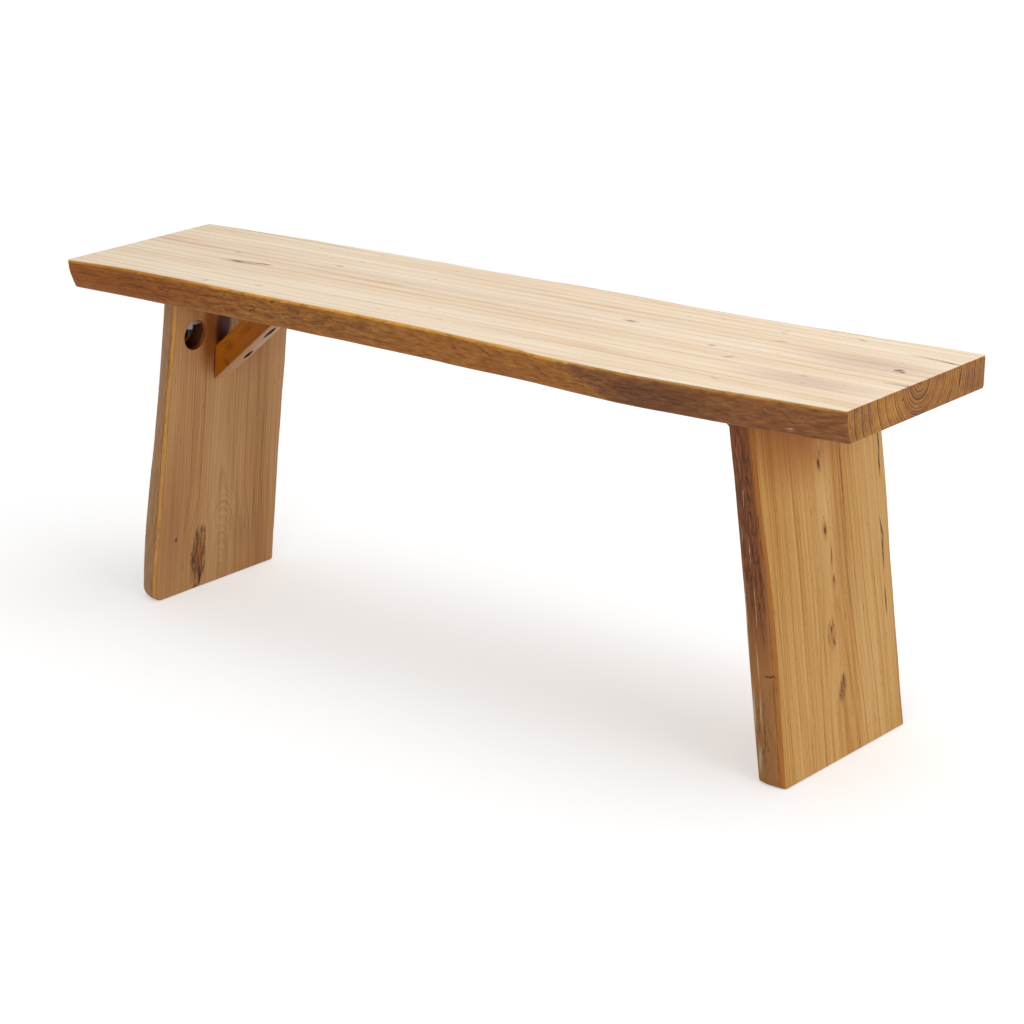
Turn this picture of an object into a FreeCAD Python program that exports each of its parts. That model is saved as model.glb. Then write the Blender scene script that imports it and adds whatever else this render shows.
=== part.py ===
import FreeCAD, Part
import math
import os

Vector = FreeCAD.Vector

# Live edge bench: one waney slab on two splayed board legs, each held by two studs and a slanting brace.
# Millimetres. X runs along the bench, -Y is the front and +Z is up.
# The origin is on the floor at the middle of the bench.

# Seat slab
seat_length = 1209.0
seat_width = 305.2
seat_height = 459.7
seat_thickness = 38.0

# Legs: one board each, leaning in towards the top
leg_thickness = 38.0
leg_width = 250.0
leg_splay = 7.0
left_overhang = 66.9
right_overhang = 81.0

# Bolt pockets in the inner faces of the legs, one each side of the brace
pocket_diameter = 40.0
pocket_drop = 57.8
pocket_offset = 54.3
bolt_depth_share = 0.37

# Stud, nut, half-moon washer and threaded insert
stud_diameter = 8.0
stud_tail = 10.0
stud_point = 1.0
stud_bore = 9.0
nut_flats = 13.0
nut_height = 6.5
washer_height = 7.4
washer_depth = 19.0
washer_back_gap = 3.5
insert_diameter = 12.0
insert_length = 19.0
insert_inset = 1.6
insert_hole_spare = 3.0

# Brace: a square stick between leg and seat. The left one sits on the bench's middle plane.
brace_width = 32.5
brace_depth = 33.0
brace_drop = 127.6
brace_angle = 39.3
right_brace_step = 14.0

# Wood screws of the brace, each sunk in a slanting counterbore and aimed at a joint face
screw_diameter = 4.5
screw_head_diameter = 8.8
screw_head_height = 3.4
screw_bite = 22.0
screw_point = 1.2
screw_tip = 1.5
counterbore_diameter = 10.0
leg_screw_sink = 12.0
seat_screw_sink = 30.0
leg_screw_step = 5.0
leg_screw_mouth_share = 0.285
leg_screw_aim_share = 0.62
seat_screw_mouth_share = 0.575
seat_screw_aim_share = 0.32

# Clearances, and how far a cutting shape runs past what it cuts
thread_clearance = 0.1
shank_clearance = 0.25
seating_clearance = 0.2
overrun = 12.0
edge_overrun = 3.0

# Seat outline: place along the length, then the front edge's top, belly and foot as shares of half
# the width, then the same three for the back edge.
seat_edge_shares = (
    (-0.500, 0.912, 0.886, 0.826, 0.832, 0.836, 0.800),
    (-0.463, 0.858, 0.858, 0.820, 0.842, 0.843, 0.800),
    (-0.405, 0.821, 0.838, 0.818, 0.878, 0.874, 0.826),
    (-0.320, 0.828, 0.840, 0.816, 0.904, 0.896, 0.852),
    (-0.200, 0.842, 0.848, 0.812, 0.912, 0.914, 0.866),
    (-0.080, 0.838, 0.850, 0.826, 0.906, 0.916, 0.880),
    (0.020, 0.868, 0.876, 0.860, 0.930, 0.930, 0.884),
    (0.095, 0.908, 0.904, 0.886, 0.934, 0.930, 0.876),
    (0.133, 0.936, 0.928, 0.898, 0.922, 0.924, 0.872),
    (0.158, 0.990, 0.950, 0.908, 0.915, 0.918, 0.872),
    (0.210, 0.988, 0.982, 0.956, 0.908, 0.912, 0.876),
    (0.275, 1.007, 1.002, 0.970, 0.905, 0.914, 0.890),
    (0.346, 0.974, 0.978, 0.950, 0.932, 0.936, 0.914),
    (0.445, 0.914, 0.926, 0.892, 0.982, 0.978, 0.960),
    (0.500, 0.890, 0.884, 0.832, 1.003, 0.999, 0.989),
)

# How far down its thickness a waney edge stands out most
belly_depth_share = 0.5

# Leg outlines: height, then the front edge at the inner face, belly and outer face as shares of half
# the width, then the same three for the back edge.
left_leg_shares = (
    (0.00, 0.902, 0.868, 0.774, 0.926, 0.932, 0.866),
    (0.08, 0.908, 0.876, 0.793, 0.922, 0.928, 0.862),
    (0.21, 0.876, 0.860, 0.789, 0.922, 0.926, 0.860),
    (0.35, 0.840, 0.826, 0.745, 0.926, 0.928, 0.866),
    (0.55, 0.821, 0.786, 0.679, 0.952, 0.950, 0.890),
    (0.72, 0.776, 0.742, 0.642, 0.970, 0.972, 0.906),
    (0.86, 0.746, 0.716, 0.626, 0.984, 0.984, 0.920),
    (1.00, 0.736, 0.704, 0.606, 0.992, 0.990, 0.930),
)
right_leg_shares = (
    (0.00, 0.954, 0.990, 0.978, 0.956, 1.000, 1.014),
    (0.08, 0.949, 0.976, 0.962, 0.958, 1.000, 1.011),
    (0.21, 0.938, 0.954, 0.938, 0.968, 1.006, 1.015),
    (0.35, 0.922, 0.934, 0.910, 0.976, 1.010, 1.018),
    (0.55, 0.899, 0.918, 0.896, 1.000, 1.034, 1.042),
    (0.72, 0.893, 0.938, 0.942, 1.014, 1.052, 1.064),
    (0.86, 0.886, 0.942, 0.952, 1.008, 1.048, 1.056),
    (1.00, 0.896, 0.934, 0.938, 0.994, 1.034, 1.042),
)

# Values worked out from the sizes above
underside = seat_height - seat_thickness
splay = math.radians(leg_splay)
rise = math.radians(brace_angle)
half_length = seat_length / 2
half_width = seat_width / 2
half_leg = leg_width / 2
leg_board_length = underside / math.cos(splay) + leg_thickness * math.tan(splay)
leg_foot_run = leg_thickness / math.cos(splay)
bolt_depth = bolt_depth_share * leg_thickness
pocket_radius = pocket_diameter / 2
pocket_depth = bolt_depth + washer_depth / 2 + washer_back_gap
pocket_centre = (underside - pocket_drop) / math.cos(splay)
washer_radius = pocket_radius - seating_clearance
washer_flat = pocket_centre + washer_radius - washer_height
nut_base = washer_flat - nut_height
stud_base = nut_base - stud_tail
bolt_entry = (underside + bolt_depth * math.sin(splay)) / math.cos(splay)
insert_base = bolt_entry + insert_diameter / 2 * math.tan(splay) + insert_inset
insert_top = insert_base + insert_length


def placed(shape, inner_foot, side):
    """A board-frame shape leaned over, stood on its foot line, and mirrored for the right end."""
    moved = shape.copy()
    moved.rotate(Vector(0, 0, 0), Vector(0, 1, 0), leg_splay)
    moved.translate(Vector(-inner_foot, 0, 0))
    if side > 0:
        moved = moved.mirror(Vector(0, 0, 0), Vector(1, 0, 0))
    return moved


def waney_cutter(table, column, start_share, length, half, thickness, place):
    """Solid outside one slope of a waney edge: a face ruled between two outline columns, drawn outwards."""
    rows = []
    for index, row in enumerate(table):
        along = row[0] * length
        if index == 0:
            along -= overrun
        if index == len(table) - 1:
            along += overrun
        near = row[column] * half
        slope = (row[column + 1] * half - near) / (belly_depth_share * thickness)
        start = start_share * thickness
        depths = (-edge_overrun, thickness + edge_overrun)
        rows.append([place(along, near + slope * (depth - start), depth) for depth in depths])
    spans = len(rows) - 3
    counts = [4] + [1] * (spans - 1) + [4]
    face = Part.BSplineSurface()
    face.buildFromPolesMultsKnots(rows, counts, [2, 2], list(range(spans + 1)), [0, 1], False, False, 3, 1)
    outward = (place(0, half, 0) - place(0, 0, 0)) * 2
    return face.toShape().extrude(outward)


def waney_cutters(table, length, half, thickness, place):
    """The four slopes of a board's two waney edges: each edge falls away on both sides of its belly."""
    solids = []
    for first_column, way in ((1, -1), (4, 1)):

        def placed_edge(along, distance, depth):
            return place(along, way * distance, depth)

        for step, start_share in ((0, 0), (1, belly_depth_share)):
            column = first_column + step
            solids.append(waney_cutter(table, column, start_share, length, half, thickness, placed_edge))
    return solids


def seat_slab():
    corner = Vector(-half_length, -seat_width, underside)
    slab = Part.makeBox(seat_length, seat_width * 2, seat_thickness, corner)

    def place(along, distance, depth):
        return Vector(along, distance, seat_height - depth)

    return slab.cut(waney_cutters(seat_edge_shares, seat_length, half_width, seat_thickness, place))


def leg_board(table):
    """One leg board in its own frame: inner face on x = 0, thickness towards -x, foot at z = 0."""
    corner = Vector(-leg_thickness, -leg_width, -overrun)
    board = Part.makeBox(leg_thickness, leg_width * 2, leg_board_length + overrun * 2, corner)

    def place(along, distance, depth):
        return Vector(-depth, distance, along)

    return board.cut(waney_cutters(table, leg_board_length, half_leg, leg_thickness, place))


def leg(table, inner_foot, side, cutters):
    board = placed(leg_board(table), inner_foot, side)
    corner = Vector(-half_length - overrun, -leg_width, 0)
    board = board.common(Part.makeBox(seat_length + overrun * 2, leg_width * 2, underside, corner))
    return board.cut(cutters)


def across(y, height):
    """A point of a bolt's axis in the board frame."""
    return Vector(-bolt_depth, y, height)


def pocket_cut(y):
    start = Vector(overrun, y, pocket_centre)
    return Part.makeCylinder(pocket_radius, pocket_depth + overrun, start, Vector(-1, 0, 0))


def stud_bore_cut(y):
    return Part.makeCylinder(stud_bore / 2, leg_board_length, across(y, pocket_centre), Vector(0, 0, 1))


def insert_hole_cut(y):
    start = across(y, bolt_entry - overrun)
    depth = insert_top - bolt_entry + overrun + insert_hole_spare
    return Part.makeCylinder(insert_diameter / 2 + thread_clearance, depth, start, Vector(0, 0, 1))


def stud(y):
    length = insert_top - stud_base
    rod = Part.makeCylinder(stud_diameter / 2, length, across(y, stud_base), Vector(0, 0, 1))
    tip = [edge for edge in rod.Edges if edge.BoundBox.ZMax < nut_base]
    return rod.makeChamfer(stud_point, tip)


def nut(y):
    across_corners = nut_flats / 2 / math.cos(math.pi / 6)
    corners = []
    for step in range(6):
        turn = math.pi / 3 * step
        spot = Vector(math.cos(turn) * across_corners, math.sin(turn) * across_corners, 0)
        corners.append(across(y, nut_base) + spot)
    prism = Part.Face(Part.makePolygon(corners + corners[:1])).extrude(Vector(0, 0, nut_height))
    start = across(y, nut_base - nut_height / 2)
    hole = Part.makeCylinder(stud_diameter / 2 + thread_clearance, nut_height * 2, start)
    return prism.cut(hole)


def half_moon_washer(y):
    start = Vector(-bolt_depth + washer_depth / 2, y, pocket_centre)
    disc = Part.makeCylinder(washer_radius, washer_depth, start, Vector(-1, 0, 0))
    corner = Vector(-bolt_depth - washer_depth, y - pocket_diameter, washer_flat)
    half = disc.common(Part.makeBox(washer_depth * 2, pocket_diameter * 2, pocket_diameter, corner))
    hole = Part.makeCylinder(stud_bore / 2, pocket_diameter, across(y, washer_flat - washer_height))
    return half.cut(hole)


def seat_insert(y):
    sleeve = Part.makeCylinder(insert_diameter / 2, insert_length, across(y, insert_base), Vector(0, 0, 1))
    hole_radius = stud_diameter / 2 + thread_clearance
    hole = Part.makeCylinder(hole_radius, insert_length * 2, across(y, insert_base - insert_length / 2))
    return sleeve.cut(hole)


def brace_points(inner_foot):
    """Corners of the left brace seen from the front: leg low, seat low, seat high, leg high."""
    foot_x = -inner_foot + (underside - brace_drop) * math.tan(splay)
    low = Vector(foot_x, 0, underside - brace_drop)
    seat_low = Vector(low.x + brace_drop / math.tan(rise), 0, underside)
    climb = brace_depth / (math.cos(rise) - math.sin(rise) * math.tan(splay))
    high = Vector(low.x + climb * math.tan(splay), 0, low.z + climb)
    seat_high = Vector(high.x + (underside - high.z) / math.tan(rise), 0, underside)
    return low, seat_low, seat_high, high


def screw_line(inner_foot, which):
    """Mouth of a counterbore, the joint-face point its screw is aimed at and its sink, for the left brace."""
    low, seat_low, seat_high, high = brace_points(inner_foot)
    if which == "leg":
        mouth = low + (seat_low - low) * leg_screw_mouth_share
        aim = low + (high - low) * leg_screw_aim_share
        step = Vector(0, leg_screw_step, 0)
        return mouth + step, aim + step, leg_screw_sink
    mouth = low + (seat_low - low) * seat_screw_mouth_share
    aim = seat_high + (seat_low - seat_high) * seat_screw_aim_share
    return mouth, aim, seat_screw_sink


def screw_hole(inner_foot, which, radius):
    mouth, aim, sink = screw_line(inner_foot, which)
    heading = (aim - mouth).normalize()
    length = (aim - mouth).Length - sink + screw_bite + screw_point / 2
    return Part.makeCylinder(radius, length, mouth + heading * sink, heading)


def counterbore(inner_foot, which):
    mouth, aim, sink = screw_line(inner_foot, which)
    heading = (aim - mouth).normalize()
    return Part.makeCylinder(counterbore_diameter / 2, sink + overrun, mouth - heading * overrun, heading)


def wood_screw(inner_foot, which):
    mouth, aim, sink = screw_line(inner_foot, which)
    heading = (aim - mouth).normalize()
    reach = (aim - mouth).Length - sink + screw_bite
    shank = screw_diameter / 2
    head = screw_head_diameter / 2
    outline = [
        Vector(0, 0, -screw_head_height),
        Vector(head, 0, -screw_head_height),
        Vector(head, 0, 0),
        Vector(shank, 0, 0),
        Vector(shank, 0, reach - screw_point),
        Vector(screw_tip, 0, reach),
        Vector(0, 0, reach),
    ]
    body = Part.Face(Part.makePolygon(outline + outline[:1])).revolve(Vector(0, 0, 0), Vector(0, 0, 1), 360)
    body.Placement = FreeCAD.Placement(mouth + heading * sink, FreeCAD.Rotation(Vector(0, 0, 1), heading))
    return body


def brace(inner_foot):
    corners = [point - Vector(0, brace_width / 2, 0) for point in brace_points(inner_foot)]
    stick = Part.Face(Part.makePolygon(corners + corners[:1])).extrude(Vector(0, brace_width, 0))
    for which in ("leg", "seat"):
        stick = stick.cut(counterbore(inner_foot, which))
        stick = stick.cut(screw_hole(inner_foot, which, screw_diameter / 2 + shank_clearance))
    return stick


def brace_placed(shape, side):
    """Part of the left brace's joint, for the right end mirrored and set towards the back."""
    if side > 0:
        shape = shape.mirror(Vector(0, 0, 0), Vector(1, 0, 0))
        shape.translate(Vector(0, right_brace_step, 0))
    return shape


os.makedirs("parts", exist_ok=True)
parts = {}
seat = seat_slab()
ends = (("left", -1, left_overhang, left_leg_shares), ("right", 1, right_overhang, right_leg_shares))
places = (("front", -pocket_offset), ("rear", pocket_offset))

for end_name, side, overhang, table in ends:
    inner_foot = half_length - overhang - leg_foot_run
    cutters = []
    for place_name, y in places:
        name = end_name + "_" + place_name
        cutters += [pocket_cut(y), stud_bore_cut(y)]
        seat = seat.cut(placed(insert_hole_cut(y), inner_foot, side))
        parts[name + "_stud"] = placed(stud(y), inner_foot, side)
        parts[name + "_nut"] = placed(nut(y), inner_foot, side)
        parts[name + "_half_moon_washer"] = placed(half_moon_washer(y), inner_foot, side)
        parts[name + "_seat_insert"] = placed(seat_insert(y), inner_foot, side)
    pilot = screw_diameter / 2 + thread_clearance
    leg_cutters = [placed(cutter, inner_foot, side) for cutter in cutters]
    leg_cutters.append(brace_placed(screw_hole(inner_foot, "leg", pilot), side))
    seat = seat.cut(brace_placed(screw_hole(inner_foot, "seat", pilot), side))
    parts[end_name + "_leg"] = leg(table, inner_foot, side, leg_cutters)
    parts[end_name + "_brace"] = brace_placed(brace(inner_foot), side)
    parts[end_name + "_brace_leg_screw"] = brace_placed(wood_screw(inner_foot, "leg"), side)
    parts[end_name + "_brace_seat_screw"] = brace_placed(wood_screw(inner_foot, "seat"), side)
parts["seat_slab"] = seat

for name, shape in parts.items():
    shape.exportStep("parts/" + name + ".step")
    box = shape.BoundBox
    print(name, len(shape.Solids), shape.isValid(), round(shape.Volume / 1000, 2), "cm3",
          [round(v, 1) for v in (box.XMin, box.XMax, box.YMin, box.YMax, box.ZMin, box.ZMax)])
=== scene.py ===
import math
from functools import partial

import bmesh
import bpy
import numpy as np
from mathutils import Matrix, Vector, noise


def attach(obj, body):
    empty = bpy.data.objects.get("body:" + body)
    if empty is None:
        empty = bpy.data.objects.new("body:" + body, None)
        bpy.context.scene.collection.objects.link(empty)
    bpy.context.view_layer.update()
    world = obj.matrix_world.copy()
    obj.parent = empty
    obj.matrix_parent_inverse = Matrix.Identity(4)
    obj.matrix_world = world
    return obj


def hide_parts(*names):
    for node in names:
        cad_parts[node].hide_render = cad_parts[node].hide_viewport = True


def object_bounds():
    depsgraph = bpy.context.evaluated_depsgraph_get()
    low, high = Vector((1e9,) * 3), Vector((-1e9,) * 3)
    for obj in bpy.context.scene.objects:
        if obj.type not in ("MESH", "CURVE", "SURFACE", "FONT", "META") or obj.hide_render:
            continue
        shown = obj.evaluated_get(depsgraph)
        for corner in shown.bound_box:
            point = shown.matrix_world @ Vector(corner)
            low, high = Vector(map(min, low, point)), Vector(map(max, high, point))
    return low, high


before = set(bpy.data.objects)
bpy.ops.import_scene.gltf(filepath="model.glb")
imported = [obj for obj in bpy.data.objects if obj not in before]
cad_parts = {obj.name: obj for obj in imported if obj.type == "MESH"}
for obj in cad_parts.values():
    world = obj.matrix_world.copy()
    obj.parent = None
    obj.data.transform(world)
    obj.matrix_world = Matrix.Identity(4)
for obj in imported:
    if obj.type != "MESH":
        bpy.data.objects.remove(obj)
cadLow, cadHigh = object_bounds()
print("frame loaded:", len(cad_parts), "CAD pieces")

mm = 0.001

# What every piece is set out from, in millimetres, as in the CAD
bench = {
    "length": 1209.0,
    "top": 459.7,
    "underside": 421.7,
    "thickness": 38.0,
    "splay": math.radians(7.0),
    "innerFoot": {"left": 499.315, "right": 485.215},  # from the middle to each leg's inner face, at the floor
    "legBoardLength": 429.5,
    "braceRise": math.radians(39.3),
}


def hexColour(code):
    # sRGB hex to the linear colour that shaders work in
    channels = [int(code[i:i + 2], 16) / 255 for i in (1, 3, 5)]
    linear = [c / 12.92 if c <= 0.04045 else ((c + 0.055) / 1.055) ** 2.4 for c in channels]
    return (*linear, 1.0)


def addNode(tree, kind, inputs=(), stops=None, **settings):
    # adds a node with its settings and links, and gives back its first working output;
    # inputs go in order or by name, and a maths node's kind names its operation too
    kind, _, operation = kind.partition(" ")
    node = tree.nodes.new("ShaderNode" + kind)
    if operation:
        node.operation = operation
    for name, value in settings.items():
        setattr(node, name, value)
    for socket, value in inputs.items() if isinstance(inputs, dict) else enumerate(inputs):
        if isinstance(value, bpy.types.NodeSocket):
            tree.links.new(value, node.inputs[socket])
        else:
            node.inputs[socket].default_value = value
    if stops:
        ramp = node.color_ramp.elements
        ramp[0].position, ramp[-1].position = stops[0][0], stops[-1][0]
        for place, _ in stops[1:-1]:
            ramp.new(place)
        for element, (_, shade) in zip(ramp, stops):
            element.color = hexColour(shade) if isinstance(shade, str) else (shade, shade, shade, 1)
    return next(socket for socket in node.outputs if socket.enabled)


def newMaterial(name):
    material = bpy.data.materials.new(name)
    material.use_nodes = True
    tree = material.node_tree
    return material, partial(addNode, tree), tree, tree.nodes["Principled BSDF"]


# Camera at the photograph's viewing angle
cameraView = {
    "place": (2.24747, -2.66460, 1.33237),
    "yaw": 39.7596,
    "pitch": -18.0718,
    "roll": -1.0106,
    "lens": 103.93,
}


def placeCamera(view):
    bpy.context.scene.view_settings.view_transform = "Standard"
    yaw, pitch, roll = (math.radians(view[turn]) for turn in ("yaw", "pitch", "roll"))
    forward = Vector((-math.sin(yaw) * math.cos(pitch), math.cos(yaw) * math.cos(pitch), math.sin(pitch)))
    right = forward.cross(Vector((0, 0, 1))).normalized()
    up = right.cross(forward)
    rolledRight = right * math.cos(roll) + up * math.sin(roll)
    rolledUp = up * math.cos(roll) - right * math.sin(roll)
    camera = bpy.data.objects.new("photoCamera", bpy.data.cameras.new("photoCamera"))
    camera.data.lens = view["lens"]
    camera.data.sensor_width = 36
    camera.data.clip_end = 100
    axes = Matrix((rolledRight, rolledUp, -forward)).transposed().to_4x4()
    camera.matrix_world = Matrix.Translation(view["place"]) @ axes
    bpy.context.scene.collection.objects.link(camera)
    bpy.context.scene.camera = camera


placeCamera(cameraView)

# Studio: white all round to the eye, a wide lamp overhead and softer ones at both sides
studio = {
    "glow": 0.42,
    "floor": "#e6e6e6",
    "floorSize": 14, "floorDrop": 0.0004,
    "lift": {"middle": (0.6, -0.6, 0), "from": 0.4, "to": 4.5, "near": 0.38, "far": 0.66},
    "lamps": {  # place, aim, size and watts
        "overhead": ((0.5, 0.3, 2.7), (0, 0, 0.3), 2.4, 28.0),
        "rightSide": ((3.2, -0.6, 1.5), (0.1, 0, 0.2), 1.6, 20.0),
        "frontSide": ((1.3, -3.0, 1.2), (-0.1, 0, 0.25), 1.8, 23.0),
    },
}


def buildStudio(studio):
    world = bpy.data.worlds.new("studioWorld")
    bpy.context.scene.world = world
    world.use_nodes = True
    background = world.node_tree.nodes["Background"]
    floorFinish, _, floorTree, floorShader = newMaterial("paleStudioFloor")
    for tree in (world.node_tree, floorTree):
        node = partial(addNode, tree)
        path = node("LightPath").node.outputs
        seen = node("Math MAXIMUM", (path["Is Camera Ray"], path["Is Glossy Ray"]))
        seen = node("Math MAXIMUM", (seen, path["Is Transmission Ray"]))
        if tree == floorTree:
            # the lamps' light falls off with distance and the lift makes up for it
            lift = studio["lift"]
            place = node("TexCoord").node.outputs["Object"]
            away = node("VectorMath DISTANCE", (place, lift["middle"])).node.outputs["Value"]
            lift = node("MapRange", (away, lift["from"], lift["to"], lift["near"], lift["far"]))
            tree.links.new(node("Math MULTIPLY", (seen, lift)), floorShader.inputs["Emission Strength"])
        else:
            tree.links.new(node("MapRange", (seen, 0.0, 1.0, studio["glow"], 1.0)), background.inputs["Strength"])
    background.inputs["Color"].default_value = (1, 1, 1, 1)
    floorShader.inputs["Base Color"].default_value = hexColour(studio["floor"])
    floorShader.inputs["Emission Color"].default_value = (1, 1, 1, 1)
    floorShader.inputs["Roughness"].default_value = 0.9
    floorShader.inputs["Specular IOR Level"].default_value = 0.1

    bm = bmesh.new()
    bmesh.ops.create_grid(bm, x_segments=1, y_segments=1, size=studio["floorSize"])
    bmesh.ops.translate(bm, verts=bm.verts, vec=(0, 0, -studio["floorDrop"]))
    mesh = bpy.data.meshes.new("studioFloor")
    bm.to_mesh(mesh)
    bm.free()
    mesh.materials.append(floorFinish)
    floor = bpy.data.objects.new("studioFloor", mesh)
    bpy.context.scene.collection.objects.link(floor)

    for name, (place, aim, size, watts) in studio["lamps"].items():
        light = bpy.data.lights.new(name, "AREA")
        light.shape = "DISK"
        light.size = size
        light.energy = watts
        holder = bpy.data.objects.new(name, light)
        turn = (Vector(aim) - Vector(place)).to_track_quat("-Z", "Y")
        holder.matrix_world = Matrix.Translation(place) @ turn.to_matrix().to_4x4()
        bpy.context.scene.collection.objects.link(holder)


buildStudio(studio)
print("camera and studio ready")


# Elm, planed and oiled: growth rings round a pith line that wanders along the tree, fibre streaks and pores.
# The pattern is solid, in a space that has its X along the board's grain and its Y across the bench.
elm = {
    "runOut": 0.0, "fineRings": 4.0, "streaks": 0.36, "broadTone": 0.6, "poreDepth": 0.1,
    "endTones": ((0.15, "#a97440"), (0.6, "#7f4f26"), (1.0, "#4a2b12")), "endRings": 0.3,
    "fleckShare": 0.4, "fleckDepth": 0.4, "gloss": (0.4, 0.56), "sheen": 0.3,
}


def grainFrame(wood):
    # where the wood's own space stands: its pith, and its grain as seen from the front
    return Matrix.Translation(wood["pith"]) @ Matrix.Rotation(wood["grainTurn"], 4, "Y")


def addMarks(node, space, toGrain, marks, turnAxis):
    # one mask for a list of marks, each an ellipsoid that fades out at its rim; a mark may end with a turn,
    # and with the axis that it is about where that isn't the list's own
    total = 0.0
    for x, y, z, length, width, height, strength, core, *turn in marks:
        turns = [0.0, 0.0, 0.0]
        if turn:
            turns[turn[1] if len(turn) > 1 else turnAxis] = turn[0]
        size = (length / 2, width / 2, height / 2)
        spot = node("Mapping", (space, toGrain @ Vector((x, y, z)), turns, size), vector_type="TEXTURE")
        reach = node("VectorMath LENGTH", (spot,)).node.outputs["Value"]
        mask = node("MapRange", (reach, core, 1.0, strength, 0.0), interpolation_type="SMOOTHSTEP")
        total = mask if total == 0.0 else node("Math MAXIMUM", (total, mask))
    return total


def elmMaterial(name, wood, marks, turnAxis=2):
    material, node, tree, shader = newMaterial(name)
    place = node("TexCoord").node.outputs["Object"]
    frameNow = grainFrame(wood)
    toGrain = frameNow.inverted()
    grain = node("Mapping", (place, frameNow.translation * mm, frameNow.to_euler(), (mm, mm, mm)),
                 vector_type="TEXTURE")

    # the tree's slow wander, about 6 mm over a forearm's length, and a smaller one over a hand's width
    half = (0.5, 0.5, 0.5)
    bent = grain
    for stretch, swing in (((420, 90, 90), wood["wander"]), ((130, 26, 26), wood["wander"] * 0.16)):
        cell = node("VectorMath MULTIPLY", (grain, [1 / s for s in stretch]))
        drift = node("TexNoise", {"Vector": cell, "Scale": 1, "Detail": 1.5}).node.outputs["Color"]
        drift = node("VectorMath SUBTRACT", (drift, half))
        drift = node("VectorMath MULTIPLY", (drift, (0, swing * 2, swing * 2)))
        bent = node("VectorMath ADD", (bent, drift))

    # the grain parts round each knot
    for spot, length, width, push in wood["partings"]:
        local = node("Mapping", (grain, toGrain @ Vector(spot), (0, 0, 0), (length, width, width * 2)),
                     vector_type="TEXTURE")
        near = node("VectorMath DOT_PRODUCT", (local, local)).node.outputs["Value"]
        near = node("Math EXPONENT", (node("Math MULTIPLY", (near, -1.0)),))
        shove = node("VectorMath MULTIPLY", (local, (0, width * push, 0)))
        shove = node("VectorMath SCALE", {0: shove, "Scale": near})
        bent = node("VectorMath SUBTRACT", (bent, shove))

    # growth rings: the distance from the pith line, which may run out through the board's face
    axes = node("SeparateXYZ", (bent,)).node.outputs
    beyond = node("Math MINIMUM", (axes["X"], 0.0))
    depth = node("Math MULTIPLY_ADD", (beyond, wood["runOut"], axes["Z"]))
    section = node("CombineXYZ", {"Y": axes["Y"], "Z": depth})
    radius = node("VectorMath LENGTH", (section,)).node.outputs["Value"]
    season = node("Math MULTIPLY", (radius, 0.035))
    season = node("TexNoise", {"W": season, "Scale": 1, "Detail": 2}, noise_dimensions="1D")
    ringTurn = node("Math MULTIPLY_ADD", (radius, 1 / wood["ringWidth"], season))
    fineTurn = node("Math MULTIPLY", (ringTurn, wood["fineRings"]))
    broadRing, fineRing = (node("ValToRGB", (node("Math FRACT", (turn,)),), stops) for turn, stops in (
        (ringTurn, ((0.0, 0.25), (0.06, 0.0), (0.6, 0.12), (0.9, 0.42), (0.965, 1.0), (1.0, 0.3))),
        (fineTurn, ((0.0, 0.3), (0.1, 0.0), (0.55, 0.25), (0.9, 1.0), (1.0, 0.4)))))

    # noises, each with its length, width and height in mm: streaks 1 mm wide and a hand long, bands, broad
    # tone, pores 0.8 mm wide, the skin under the bark, the grit on it and what makes the marks ragged
    noises = {}
    for layer, space, stretch, detail, roughness in (
            ("streak", bent, (95, 1.3, 1.3), 3, 0.5), ("band", bent, (420, 7, 7), 2, 0.5),
            ("tone", bent, (700, 48, 48), 1, 0.5), ("pore", bent, (8, 0.8, 0.8), 1, 0.5),
            ("skin", bent, (20, 7, 3.6), 8, 0.72), ("grit", grain, (12, 3.2, 2.4), 5, 0.6),
            ("ragged", grain, (9, 2.6, 2.6), 3, 0.5)):
        cell = node("VectorMath MULTIPLY", (space, [1 / s for s in stretch]))
        noises[layer] = node("TexNoise", {"Vector": cell, "Scale": 1, "Detail": detail, "Roughness": roughness})
    streak, skin = noises["streak"], noises["skin"]
    pores = node("MapRange", (noises["pore"], 0.66, 0.76))

    shade = 0.5
    for value, middle, weight in (
            (broadRing, 0.0, "ringDepth"), (fineRing, 0.0, "fineDepth"), (streak, 0.5, "streaks"),
            (noises["band"], 0.5, "bands"), (noises["tone"], 0.5, "broadTone"), (pores, 0.0, "poreDepth")):
        centred = node("Math SUBTRACT", (value, middle))
        shade = node("Math MULTIPLY_ADD", (centred, wood[weight], shade))
    cell = node("VectorMath MULTIPLY", (grain, (1 / 46, 1 / 6.5, 1 / 6.5)))
    cells = node("TexVoronoi", {"Vector": cell, "Scale": 1}).node.outputs
    chosen = node("SeparateColor", (cells["Color"],))
    reach = node("MapRange", (chosen, 1 - wood["fleckShare"], 1.0, 0.0, 0.15))
    fleck = node("MapRange", (node("Math SUBTRACT", (reach, cells["Distance"])), 0.0, 0.05))

    # coats over the planed wood, each with its mask; first painted light:
    # the faces that meet the light most are painted paler
    coats = []
    facing = node("NewGeometry").node.outputs["Normal"]
    if "paleTones" in wood:
        turned = node("VectorMath DOT_PRODUCT", (facing, wood["paleFacing"])).node.outputs["Value"]
        coats.append((node("MapRange", (turned, 0.35, 0.8)), node("ValToRGB", (shade,), wood["paleTones"])))

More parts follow.
